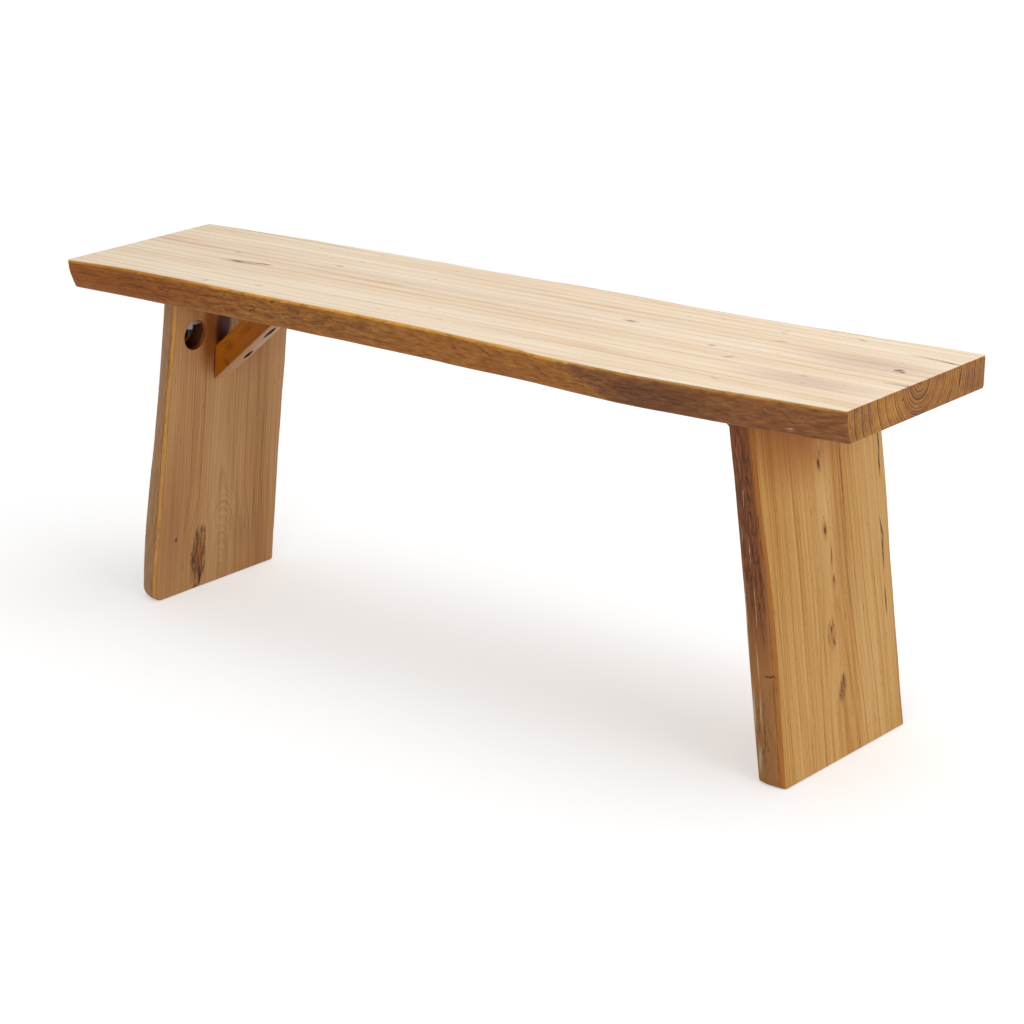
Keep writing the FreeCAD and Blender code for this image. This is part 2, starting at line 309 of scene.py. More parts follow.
    # end grain drinks more oil, so it is darker; its rings are wide apart with dark late wood towards the
    # front edge, and many and fine round the heart
    along = frameNow.to_3x3() @ Vector((1, 0, 0))
    ends = node("VectorMath DOT_PRODUCT", (facing, along)).node.outputs["Value"]
    ends = node("MapRange", (node("Math ABSOLUTE", (ends,)), 0.6, 0.9))
    nearFront = node("MapRange", (axes["Y"], -30.0, -60.0, 0.3, 1.0))
    lateWood = node("Math MULTIPLY", (node("Math POWER", (broadRing, 2.4)), nearFront))
    endShade = node("Math MULTIPLY_ADD", (lateWood, wood["endRings"], shade))
    fineShare = node("Math MULTIPLY_ADD", (nearFront, -0.75, 1.0))
    fineShare = node("Math MULTIPLY", (fineRing, fineShare))
    endShade = node("Math MULTIPLY_ADD", (fineShare, wood["endRings"] * 0.6, endShade))
    coats.append((ends, node("ValToRGB", (endShade,), wood["endTones"])))

    # waney edge: the sapwood under the bark, with strips of inner bark left on it; along the arris
    # a painted golden highlight, with a painted line of shade under it
    masks = {key: node("Attribute", attribute_name=key).node.outputs["Fac"] for key in ("waney", "bark", "arris")}
    barkLeft = node("Math MULTIPLY_ADD", (node("Math SUBTRACT", (skin, 0.5)), 1.4, masks["bark"]))
    sapwood, bark = (node("ValToRGB", (skin,), wood[tones]) for tones in ("waneyTones", "barkTones"))
    underBark = node("Mix", {0: node("MapRange", (barkLeft, 0.3, 0.7)), 6: sapwood, 7: bark}, data_type="RGBA")
    dark = hexColour(wood["markTones"]["pits"])
    under = node("ValToRGB", (masks["arris"],), ((0.04, 0.0), (0.28, 0.55), (0.55, 0.0)))
    rubbed = node("Math MULTIPLY", (masks["arris"], node("MapRange", (skin, 0.3, 0.55))))
    rubbed = node("Math MULTIPLY", (rubbed, wood["rubbed"]))
    speck = node("Math MULTIPLY", (fleck, wood["fleckDepth"]))
    coats += [(masks["waney"], underBark), (under, dark), (rubbed, hexColour(wood["arrisTone"])), (speck, dark)]

    # marks: their outlines are broken up by 1 to 2 mm
    jitter = node("VectorMath SUBTRACT", (noises["ragged"].node.outputs["Color"], half))
    jitter = node("VectorMath MULTIPLY", (jitter, (9, 2.6, 2.6)))
    ragged = node("VectorMath ADD", (grain, jitter))
    sunk = 0.0
    for kind, spots in marks.items():
        mask = addMarks(node, ragged, toGrain, spots, turnAxis)
        if kind == "cracked":
            # fine dark veins, where the noise crosses its middle
            cell = node("VectorMath MULTIPLY", (ragged, (1 / 42, 1 / 6, 1 / 6)))
            veins = node("TexNoise", {"Vector": cell, "Scale": 1, "Detail": 5, "Roughness": 0.65})
            veins = node("Math ABSOLUTE", (node("Math SUBTRACT", (veins, 0.5)),))
            mask = node("Math MULTIPLY", (mask, node("MapRange", (veins, 0.0, 0.028, 1.0, 0.0))))
        coats.append((mask, hexColour(wood["markTones"][kind])))
        if kind in ("cracked", "pits"):
            sunk = mask if sunk == 0.0 else node("Math MAXIMUM", (mask, sunk))
    colour = node("ValToRGB", (shade,), wood["tones"])
    for mask, coat in coats:
        colour = node("Mix", {0: mask, 6: colour, 7: coat}, data_type="RGBA")

    # the surface in mm: planed fibres 0.03 to 0.06 high, pits 0.8 deep, and a rough waney edge
    relief = node("Math MULTIPLY", (skin, wood["waneyRelief"]))
    relief = node("Math MULTIPLY_ADD", (noises["grit"], wood["waneyRelief"] * 0.45, relief))
    height = node("Math MULTIPLY", (relief, masks["waney"]))
    for value, lift in ((streak, 0.06), (broadRing, -0.03), (pores, -0.07), (sunk, -0.8)):
        height = node("Math MULTIPLY_ADD", (value, lift, height))
    rough = node("MapRange", (streak, 0.0, 1.0, *wood["gloss"]))
    rough = node("Math MULTIPLY_ADD", (masks["waney"], 0.1, rough))
    bump = node("Bump", {"Height": height, "Distance": mm, "Strength": 1.0})
    for socket, value in (("Base Color", colour), ("Roughness", rough), ("Normal", bump)):
        tree.links.new(value, shader.inputs[socket])
    shader.inputs["IOR"].default_value = 1.45
    shader.inputs["Specular IOR Level"].default_value = wood["sheen"]
    return material


# Boards are cut from eased blocks: a box in cells, close together where the arrises are
blockLeads = {"section": (0, 0.42, 0.73, 1.0, 1.7), "end": (0, 0.076, 0.293, 0.617, 1.0)}


def stations(length, lead, cell):
    start = lead[-1] + cell * 0.5
    inner = np.linspace(start, length - start, max(2, round((length - 2 * start) / cell) + 1))
    return np.concatenate((lead, inner, length - lead[::-1]))


def easedBlock(size, cells, arris, endArris, arrisSwell=None):
    # gives the block's bmesh and, for each vertex, its place along, across and down and its section's facing
    reach = arris * (1.5 if arrisSwell else 1.0)
    sectionLead = reach * np.array(blockLeads["section"])
    leads = (endArris * np.array(blockLeads["end"]), sectionLead, sectionLead)
    lists = [stations(*axis) for axis in zip(size, leads, cells)]
    bm = bmesh.new()
    bmesh.ops.create_cube(bm, size=2)
    for axis, spots in enumerate(lists):
        edges = [edge for edge in bm.edges if abs(edge.verts[0].co[axis] - edge.verts[1].co[axis]) > 1e-6]
        bmesh.ops.subdivide_edges(bm, edges=edges, cuts=len(spots) - 2, use_grid_fill=True)
    unit = np.array([vert.co for vert in bm.verts])
    columns = [spots[np.rint((unit[:, axis] + 1) / 2 * (len(spots) - 1)).astype(int)]
               for axis, spots in enumerate(lists)]
    along = columns[0]
    section = np.column_stack((columns[1] - size[1] / 2, columns[2] - size[2] / 2))
    halves = np.array((size[1] / 2, size[2] / 2))
    radius = arrisSwell(along, section) if arrisSwell else np.full(len(along), arris)
    core = np.clip(section, radius[:, None] - halves, halves - radius[:, None])
    offset = section - core
    length = np.maximum(np.linalg.norm(offset, axis=1), 1e-9)
    largest = np.abs(offset).max(axis=1)
    section = core + offset * (largest / length)[:, None]
    facing = np.where((largest > radius * 0.999)[:, None], offset / length[:, None], 0)
    inset = np.clip(endArris - np.minimum(along, size[0] - along), 0, endArris)
    section *= 1 - (endArris - np.sqrt(endArris ** 2 - inset ** 2))[:, None] / halves
    return bm, along, section[:, 0] / halves[0], section[:, 1] + halves[1], facing


def handEased(arris, sway, length, seed):
    # hand-eased arrises: between two thirds and one and a half times their size along the board
    def swell(along, section):
        sides = np.sign(section[:, 0]) * 2
        wave = np.array([noise.noise(Vector((a / length, side, seed))) for a, side in zip(along, sides)])
        return arris * np.clip(1 + sway * wave, 0.65, 1.5)
    return swell


def outlineCurves(rows, length):
    # the clamped cubic curves that the CAD's waney edges follow, through the rows of each outline
    along = np.array([row[0] for row in rows]) * length
    along[0] -= 12
    along[-1] += 12
    poles = np.column_stack((along, [row[1:] for row in rows]))
    knots = np.concatenate(([0] * 3, np.arange(len(rows) - 2), [len(rows) - 3] * 3)).astype(float)
    spots = np.linspace(0, len(rows) - 3 - 1e-9, 900)[:, None]
    weights = ((knots[:-1] <= spots) & (spots < knots[1:])).astype(float)
    for degree in (1, 2, 3):
        n = len(knots) - 1 - degree
        rising = (spots - knots[:n]) / np.maximum(knots[degree:degree + n] - knots[:n], 1e-9)
        falling = (knots[degree + 1:] - spots) / np.maximum(knots[degree + 1:] - knots[1:n + 1], 1e-9)
        weights = rising * weights[:, :n] + falling * weights[:, 1:n + 1]
    return weights @ poles


def cornerCut(distance, radius):
    # how far a rounded corner draws the edge in, by distance from the board's end
    inset = np.clip(radius - distance, 0, radius)
    return radius - np.sqrt(radius ** 2 - inset ** 2)


def edgeAt(curves, first, along, depthShare):
    # how far out a waney edge stands: a smooth bulge through its top, belly and foot lines
    top, belly, foot = (np.interp(along, curves[:, 0], curves[:, first + step]) for step in range(3))
    t = depthShare
    return 2 * (t - 0.5) * (t - 1) * top - 4 * t * (t - 1) * belly + 2 * t * (t - 0.5) * foot


def ripple(points, scale, seed):
    cells = points / np.array(scale) + seed
    return np.array([noise.noise(Vector(cell)) for cell in cells])


def hollows(spots, layers):
    # how far a waney edge sinks: each layer has its depth, its sway, its hollows' size and its seed
    return sum(depth * (0.5 + sway * ripple(spots, scale, seed)) for depth, sway, scale, seed in layers)


def placeVerts(bm, x, y, z):
    # no vertex stands out past the CAD in depth
    y = np.clip(y, cadLow.y / mm, cadHigh.y / mm)
    for vert, spot in zip(bm.verts, np.column_stack((x, y, z))):
        vert.co = spot


def addPiece(name, bm, finish, masks=None):
    # a finished piece stands at the origin, in metres, with its place in its mesh and its faces outward
    bm.normal_update()
    bmesh.ops.recalc_face_normals(bm, faces=bm.faces)
    if bm.calc_volume(signed=True) < 0:
        bmesh.ops.reverse_faces(bm, faces=bm.faces)
    for face in bm.faces:
        face.smooth = True
    bm.transform(Matrix.Scale(mm, 4))
    mesh = bpy.data.meshes.new(name)
    bm.to_mesh(mesh)
    bm.free()
    for key, values in (masks or {}).items():
        layer = mesh.attributes.new(key, "FLOAT", "POINT")
        layer.data.foreach_set("value", np.clip(values, 0, 1).astype(np.float32))
    for one in finish:
        mesh.materials.append(one)
    piece = bpy.data.objects.new(name, mesh)
    bpy.context.scene.collection.objects.link(piece)
    return piece


def boardFinishes(name, board, bm, waney):
    # one wood, in two finishes that differ only in their marks: the planed faces and the waney edges
    bm.verts.index_update()
    for face in bm.faces:
        face.material_index = int(sum(waney[vert.index] for vert in face.verts) > len(face.verts) * 0.5)
    return [elmMaterial(name + part, board["finish"], board[marks], turnAxis)
            for part, marks, turnAxis in (("Faces", "faceMarks", 2), ("Edges", "edgeMarks", 1))]


def carve(piece, cutters, way="DIFFERENCE", **settings):
    for cutter in cutters:
        modifier = piece.modifiers.new("carve", "BOOLEAN")
        modifier.operation = way
        modifier.solver = "MANIFOLD"
        modifier.object = cutter
        for key, value in settings.items():
            setattr(modifier, key, value)
    piece.data = bpy.data.meshes.new_from_object(piece.evaluated_get(bpy.context.evaluated_depsgraph_get()))
    piece.modifiers.clear()
    for cutter in cutters:
        bpy.data.objects.remove(cutter)


def finishPiece(piece, node, sharpAngle=38):
    piece.data.set_sharp_from_angle(angle=math.radians(sharpAngle))
    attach(piece, "root")
    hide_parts(node)


def rod(radius, low, high):
    return (0, low), (radius, low), (radius, high), (0, high)


def turnedShape(profile, places, steps):
    # a solid turned from a profile of (radius, height), repeated at each place
    bm = bmesh.new()
    for place in places:
        earlier = set(bm.verts)
        verts = [bm.verts.new((radius, 0, height)) for radius, height in profile]
        edges = [bm.edges.new(pair) for pair in zip(verts, verts[1:])]
        bmesh.ops.spin(bm, geom=verts + edges, cent=(0, 0, 0), axis=(0, 0, 1), angle=math.tau, steps=steps,
                       use_merge=True)
        made = [vert for vert in bm.verts if vert not in earlier]
        bmesh.ops.transform(bm, matrix=place, verts=made)
        bmesh.ops.remove_doubles(bm, verts=made, dist=1e-4)
    return bm


def turnedCutter(profile, places, steps):
    return addPiece("turned", turnedShape(profile, places, steps), ())


def boardFrame(end):
    # a leg board's own frame: inner face on x = 0, its thickness towards -x and its foot at z = 0
    lean = Matrix.Translation((-bench["innerFoot"][end], 0, 0)) @ Matrix.Rotation(bench["splay"], 4, "Y")
    return lean if end == "left" else Matrix.Diagonal((-1, 1, 1, 1)) @ lean


hardware = {
    "boltDepth": 14.06, "boreRadius": 4.5, "boreTop": 470,
    "pocketAcross": 54.3, "pocketAlong": 366.63, "pocketRadius": 20.0, "pocketDepth": 27.06, "rimEase": 1.2,
    "insertHole": (6.1, 414.6, 450.9),
}


def boltPlaces(end, depth=-hardware["boltDepth"], height=0.0):
    # at each bolt, the board frame moved onto the bolt's axis
    return [boardFrame(end) @ Matrix.Translation((depth, y, height))
            for y in (-hardware["pocketAcross"], hardware["pocketAcross"])]


# Brace: a square stick, planed on its sides and left sawn underneath, with two slanting counterbores
brace = {
    "low": (-463.2, 294.1), "seatLow": (-307.3, 421.7), "seatHigh": (-359.4, 421.7), "high": (-457.4, 341.5),
    "width": 32.5, "rightStep": 14.0,
    "arris": 1.3, "endArris": 0.4, "cells": (4.0, 4.0, 4.0),
    "screws": {
        "leg": {"mouth": 0.285, "aim": 0.62, "step": 5.0, "sink": 12.0, "holeFrom": 2},
        "seat": {"mouth": 0.575, "aim": 0.32, "step": 0.0, "sink": 30.0, "holeFrom": 20},
    },
    "counterbore": 5.0, "shankHole": 2.5, "pilotHole": 2.35, "bite": 22.0,
}


def screwLine(end, which):
    # the counterbore's mouth, its heading, and how far along it the screw's head seats and its point ends
    corner = {key: Vector((brace[key][0], 0, brace[key][1])) for key in ("low", "seatLow", "seatHigh", "high")}
    if end == "right":
        shift = bench["innerFoot"]["left"] - bench["innerFoot"]["right"]
        corner = {key: Vector((-(spot.x + shift), brace["rightStep"], spot.z)) for key, spot in corner.items()}
    screw = brace["screws"][which]
    step = Vector((0, screw["step"], 0))
    mouth = corner["low"].lerp(corner["seatLow"], screw["mouth"]) + step
    joint = (corner["low"], corner["high"]) if which == "leg" else (corner["seatHigh"], corner["seatLow"])
    aim = joint[0].lerp(joint[1], screw["aim"]) + step
    place = Matrix.Translation(mouth) @ (aim - mouth).to_track_quat("Z", "Y").to_matrix().to_4x4()
    return place, screw["sink"], (aim - mouth).length + brace["bite"], corner


def pilotCutter(end, which):
    # the pilot hole in the board behind the brace
    place, sink, reach, _ = screwLine(end, which)
    hole = rod(brace["pilotHole"], sink + brace["screws"][which]["holeFrom"], reach + 1)
    return turnedCutter(hole, [place], 24)


# Seat: one waney slab, bark side out along both long edges
seat = {
    "edge": (  # along, then the front edge's top, belly and foot and the back edge's, as shares
        (-0.500, 0.912, 0.886, 0.826, 0.832, 0.836, 0.800),
        (-0.463, 0.858, 0.858, 0.820, 0.842, 0.843, 0.800),
        (-0.405, 0.821, 0.838, 0.818, 0.878, 0.874, 0.826),
        (-0.320, 0.828, 0.840, 0.816, 0.904, 0.896, 0.852),
        (-0.200, 0.842, 0.848, 0.812, 0.912, 0.914, 0.866),
        (-0.080, 0.838, 0.850, 0.826, 0.906, 0.916, 0.880),
        (0.020, 0.868, 0.876, 0.860, 0.930, 0.930, 0.884),
        (0.095, 0.908, 0.904, 0.886, 0.934, 0.930, 0.876),
        (0.133, 0.936, 0.928, 0.898, 0.922, 0.924, 0.872),
        (0.158, 0.990, 0.950, 0.908, 0.915, 0.918, 0.872),
        (0.210, 0.988, 0.982, 0.956, 0.908, 0.912, 0.876),
        (0.275, 1.007, 1.002, 0.970, 0.905, 0.914, 0.890),
        (0.346, 0.974, 0.978, 0.950, 0.932, 0.936, 0.914),
        (0.445, 0.914, 0.926, 0.892, 0.982, 0.978, 0.960),
        (0.500, 0.890, 0.884, 0.832, 1.003, 0.999, 0.989),
    ),
    "halfWidth": 152.6,
    "cells": (3.0, 8.0, 3.2),
    "arris": 2.4,
    "endArris": 1.1,
    "corners": {"leftFront": 7.0, "leftBack": 3.0, "rightFront": 2.0, "rightBack": 6.0},
    "sway": (0.9, 70, 3.7),
    "hollows": ((0.9, 0.55, (55, 60, 14), 1.3), (0.3, 0.5, (9, 60, 5), 7.1)),
    "topHollows": ((0.12, 0.5, (70, 45, 1), 4.4),),
    # where the bark layer starts, seen from the front, how deep it steps down there and over what length it fades
    "ridge": {"line": ((216, 457), (241, 451), (261, 439.5), (293, 424)), "step": 1.6, "slant": 0.45, "fade": 11,
              "brink": 1.6},
    # the layer's chips: x, z, length, height, depth
    "chips": ((165, 456, 16, 7, 2.6), (-402, 457, 34, 4, 1.2), (-512, 456, 40, 5, 1.0)),
    "finish": elm | {
        "pith": (0, 9.7, 462), "grainTurn": 0.0, "wander": 6.0, "ringWidth": 15.5,
        "partings": (((563, 34, 459), 46, 12, 0.75), ((187, 38, 459), 40, 9, 0.6), ((-404, -10, 459), 60, 12, 0.5)),
        "ringDepth": 0.24, "fineDepth": 0.15, "streaks": 0.4, "bands": 0.42,
        "tones": ((0.2, "#dcae72"), (0.5, "#cd9858"), (0.72, "#b47c3e"), (1.0, "#7c4e22")),
        # painted light: the top is painted paler, for the strong light and sheen that fall on it
        "paleTones": ((0.25, "#fdf0da"), (0.54, "#f4dec0"), (0.7, "#eacda9"), (0.86, "#d3a682"), (1.0, "#a3765a")),
        "paleFacing": (0, 0, 1),
        "endTones": ((0.2, "#cd9640"), (0.5, "#b27727"), (0.72, "#925616"), (1.0, "#4c280a")),
        "waneyTones": ((0.28, "#69360c"), (0.44, "#9b5d1c"), (0.58, "#ae7230"), (0.78, "#cf944c")),
        "barkTones": ((0.25, "#542c14"), (0.5, "#855126"), (0.75, "#ae7742")),
        # painted highlight: the golden tone and strength along the top arris
        "arrisTone": "#eba63e", "rubbed": 1.0, "waneyRelief": 1.5, "sheen": 0.35,
        "markTones": {"stains": "#b58d76", "oiled": "#9a5000", "shade": "#4e2610", "cracked": "#4e2b0e",
                      "pits": "#4a240c", "pales": "#ead9bd"},
        "fleckShare": 0.5, "fleckDepth": 0.6, "endRings": 0.5,
    },
    # marks: x, y, z, length, width, height, strength, share that is core, and where it is tilted its turn and axis
    "faceMarks": {
        "stains": (
            (567, 98, 460, 100, 9, 8, 0.75, 0.1, -0.09), (590, -15, 460, 50, 7, 8, 0.8, 0.1, 0.05),
            (520, 40, 460, 300, 92, 8, 0.42, 0.0), (563, 34, 460, 26, 20, 8, 0.8, 0.3),
            (187, 38, 460, 34, 13, 8, 0.7, 0.2), (-405, -11, 460, 100, 24, 8, 0.75, 0.1, 0.1),
            (-70, 30, 460, 700, 50, 8, 0.22, 0.0), (505, -62, 460, 280, 80, 8, 0.42, 0.0),
        ),
        "pits": (
            (560, 36, 460, 13, 7, 6, 0.9, 0.4, 0.3), (569, 31, 460, 11, 5, 6, 0.85, 0.4, -0.2),
            (592, 95, 460, 40, 4.5, 7, 0.9, 0.2, -0.09), (604, -14, 460, 26, 4, 7, 0.85, 0.2, 0.05),
            (-375, -3.7, 460, 46, 5.4, 5, 0.95, 0.3, 0.1), (-414, -12, 460, 36, 5.4, 5, 0.95, 0.3, -0.1),
            (-449, 24, 460, 26, 3.6, 5, 0.65, 0.2), (-287, 45, 460, 20, 4, 5, 0.7, 0.3),
            (-375, -111, 460, 22, 4.2, 5, 0.75, 0.2, 0.5), (-299, -90, 460, 16, 3.8, 5, 0.6, 0.3, 0.4),
            (-170, 13, 460, 60, 4, 5, 0.6, 0.1, 0.15), (187, 38, 460, 20, 4.4, 5, 0.75, 0.3),
            (329, 3, 460, 16, 4.6, 5, 0.8, 0.3, 0.2), (375, -27, 460, 20, 5, 5, 0.7, 0.3, 0.5),
            (488, -45, 460, 22, 4, 5, 0.65, 0.2, 0.25), (457, 122, 460, 28, 4, 5, 0.6, 0.2, -0.3),
            (384, 63, 460, 26, 4.6, 5, 0.6, 0.2, 0.2), (604, -25.1, 446.7, 8, 4.4, 5, 0.9, 0.3),
            (604, 94, 447, 8, 3.6, 34, 0.95, 0.3, -0.3, 0), (604, -10, 456, 8, 3.4, 14, 0.7, 0.1, 0.3, 0),
        ),
    },
    "edgeMarks": {
        "oiled": ((-520, -130, 441, 560, 60, 60, 0.7, 0.3),),
        "shade": ((372, -150, 438, 220, 60, 60, 0.42, 0.2),),
        "cracked": (
            (-330, -130, 441, 760, 60, 44, 0.55, 0.4), (300, -150, 438, 340, 60, 44, 0.5, 0.2),
            (0, 140, 440, 1300, 60, 44, 0.5, 0.4),
        ),
        "pits": (
            (-278, -128, 438, 8, 40, 3.4, 0.95, 0.3), (-197, -128, 446.6, 4.4, 40, 4.2, 0.95, 0.4),
            (-241, -128, 454, 8, 40, 2.6, 0.85, 0.3), (-107, -130, 443, 4.4, 40, 3.8, 0.95, 0.4),
            (-300, -128, 441, 5, 40, 2.6, 0.85, 0.3), (-222, -128, 441, 14, 40, 2.4, 0.8, 0.3, 0.2),
            (-340, -128, 447, 18, 40, 2.2, 0.7, 0.3, 0.1), (-458, -130, 449, 14, 40, 2.4, 0.7, 0.3, 0.2),
            (504, -146, 444, 16, 40, 2, 0.7, 0.2, 0.7), (428, -148, 445, 4, 40, 4, 0.8, 0.4),
            (330, -152, 437, 5, 40, 3, 0.7, 0.4), (60, -134, 444, 11, 40, 2.2, 0.7, 0.3),
            (-566, -136, 445, 70, 40, 3.4, 0.8, 0.1, 0.03), (-540, -134, 436, 60, 40, 3.0, 0.75, 0.1, -0.03),
            (-500, -132, 449, 60, 40, 3.0, 0.7, 0.1, 0.04), (-482, -132, 440, 80, 40, 3.4, 0.8, 0.1, 0.03),
            (-440, -130, 433, 60, 40, 3.0, 0.75, 0.1), (-592, -136, 434, 22, 40, 2.4, 0.75, 0.2, 0.3),
            (-410, -130, 446, 60, 40, 2.8, 0.7, 0.1, 0.04), (-355, -130, 437, 50, 40, 2.8, 0.7, 0.1),
            (-60, -130, 432, 90, 40, 2.8, 0.65, 0.1, 0.02), (110, -134, 447, 34, 40, 2.8, 0.7, 0.2, 0.35),
            (196, -138, 440, 44, 40, 2.8, 0.75, 0.2, 0.5), (180, -134, 452, 40, 40, 2.6, 0.65, 0.2, 0.15),
            (455, -146, 434, 30, 40, 1.6, 0.5, 0.1, 0.2), (536, -142, 440, 40, 40, 1.8, 0.5, 0.1, 0.75),
        ),
        "pales": (
            (534, -140, 429, 16, 40, 1.6, 0.6, 0.2, -0.05), (507, -146, 447, 14, 40, 1.0, 0.3, 0.2, 0.7),
            (-556, -136, 453, 34, 40, 1.8, 0.24, 0.1, 0.05), (-518, -134, 452, 26, 40, 1.8, 0.2, 0.1, -0.05),
            (-478, -134, 452, 30, 40, 1.6, 0.22, 0.1, 0.08),
        ),
    },
}


def buildSeat():
    size = (bench["length"], seat["halfWidth"] * 2, bench["thickness"])
    swell = handEased(seat["arris"], *seat["sway"])
    bm, along, across, depth, facing = easedBlock(size, seat["cells"], seat["arris"], seat["endArris"], swell)
    x = along - bench["length"] / 2
    curves = outlineCurves(seat["edge"], bench["length"])
    front, back = (edgeAt(curves, first, x, depth / bench["thickness"]) * seat["halfWidth"] for first in (1, 4))
    corners = seat["corners"]
    ends = (along, bench["length"] - along)
    front -= np.maximum(*(cornerCut(near, corners[key]) for near, key in zip(ends, ("leftFront", "rightFront"))))
    back -= np.maximum(*(cornerCut(near, corners[key]) for near, key in zip(ends, ("leftBack", "rightBack"))))
    z = bench["top"] - depth
    y = -front + (across + 1) / 2 * (front + back)
    frontSide = y < 0
    waney = np.abs(facing[:, 0])
    spots = np.column_stack((x, np.sign(y) * 60, z))
    sunk = hollows(spots, seat["hollows"])

    # the step at the end of the bark layer, on the front only: its left side lies lower
    ridge = seat["ridge"]
    line = np.array(ridge["line"], float)
    past = (x - np.interp(z, line[::-1, 1], line[::-1, 0])) * ridge["slant"]
    step = ridge["step"] * np.exp(-np.clip(-past, 0, None) / ridge["fade"])
    step *= 1 - np.clip(past / ridge["brink"] + 0.5, 0, 1)
    for chipX, chipZ, length, height, deep in seat["chips"]:
        step += deep * np.exp(-((x - chipX) / length) ** 2 * 2 - ((z - chipZ) / height) ** 2 * 2)
    y -= np.sign(y) * (sunk + np.where(frontSide, step, 0)) * waney
    z -= hollows(np.column_stack((x, y, z * 0)), seat["topHollows"]) * (depth < 1)
    placeVerts(bm, x, y, z)
    bark = np.where(frontSide, np.clip(past / 5 + 0.5, 0, 1) * 0.85 + 0.08, 0.35)
    # where the painted highlight and the painted shade line under it run along the top arris
    topArris = np.clip(1.6 - np.abs(depth - 1.3) / 1.9, 0, 1) * np.clip(waney * 2, 0, 1)
    topArris *= np.where(frontSide & (x > 240), 0.5, 1.0)
    masks = {"waney": waney, "bark": bark, "arris": topArris}
    slab = addPiece("seatSlab", bm, boardFinishes("oiledElmSeat", seat, bm, waney), masks)
    for end in ("left", "right"):
        holes = turnedCutter(rod(*hardware["insertHole"]), boltPlaces(end), 32)
        carve(slab, [holes, pilotCutter(end, "seat")])
    finishPiece(slab, "seat_slab")
    print("seat slab:", len(slab.data.polygons), "faces")


buildSeat()

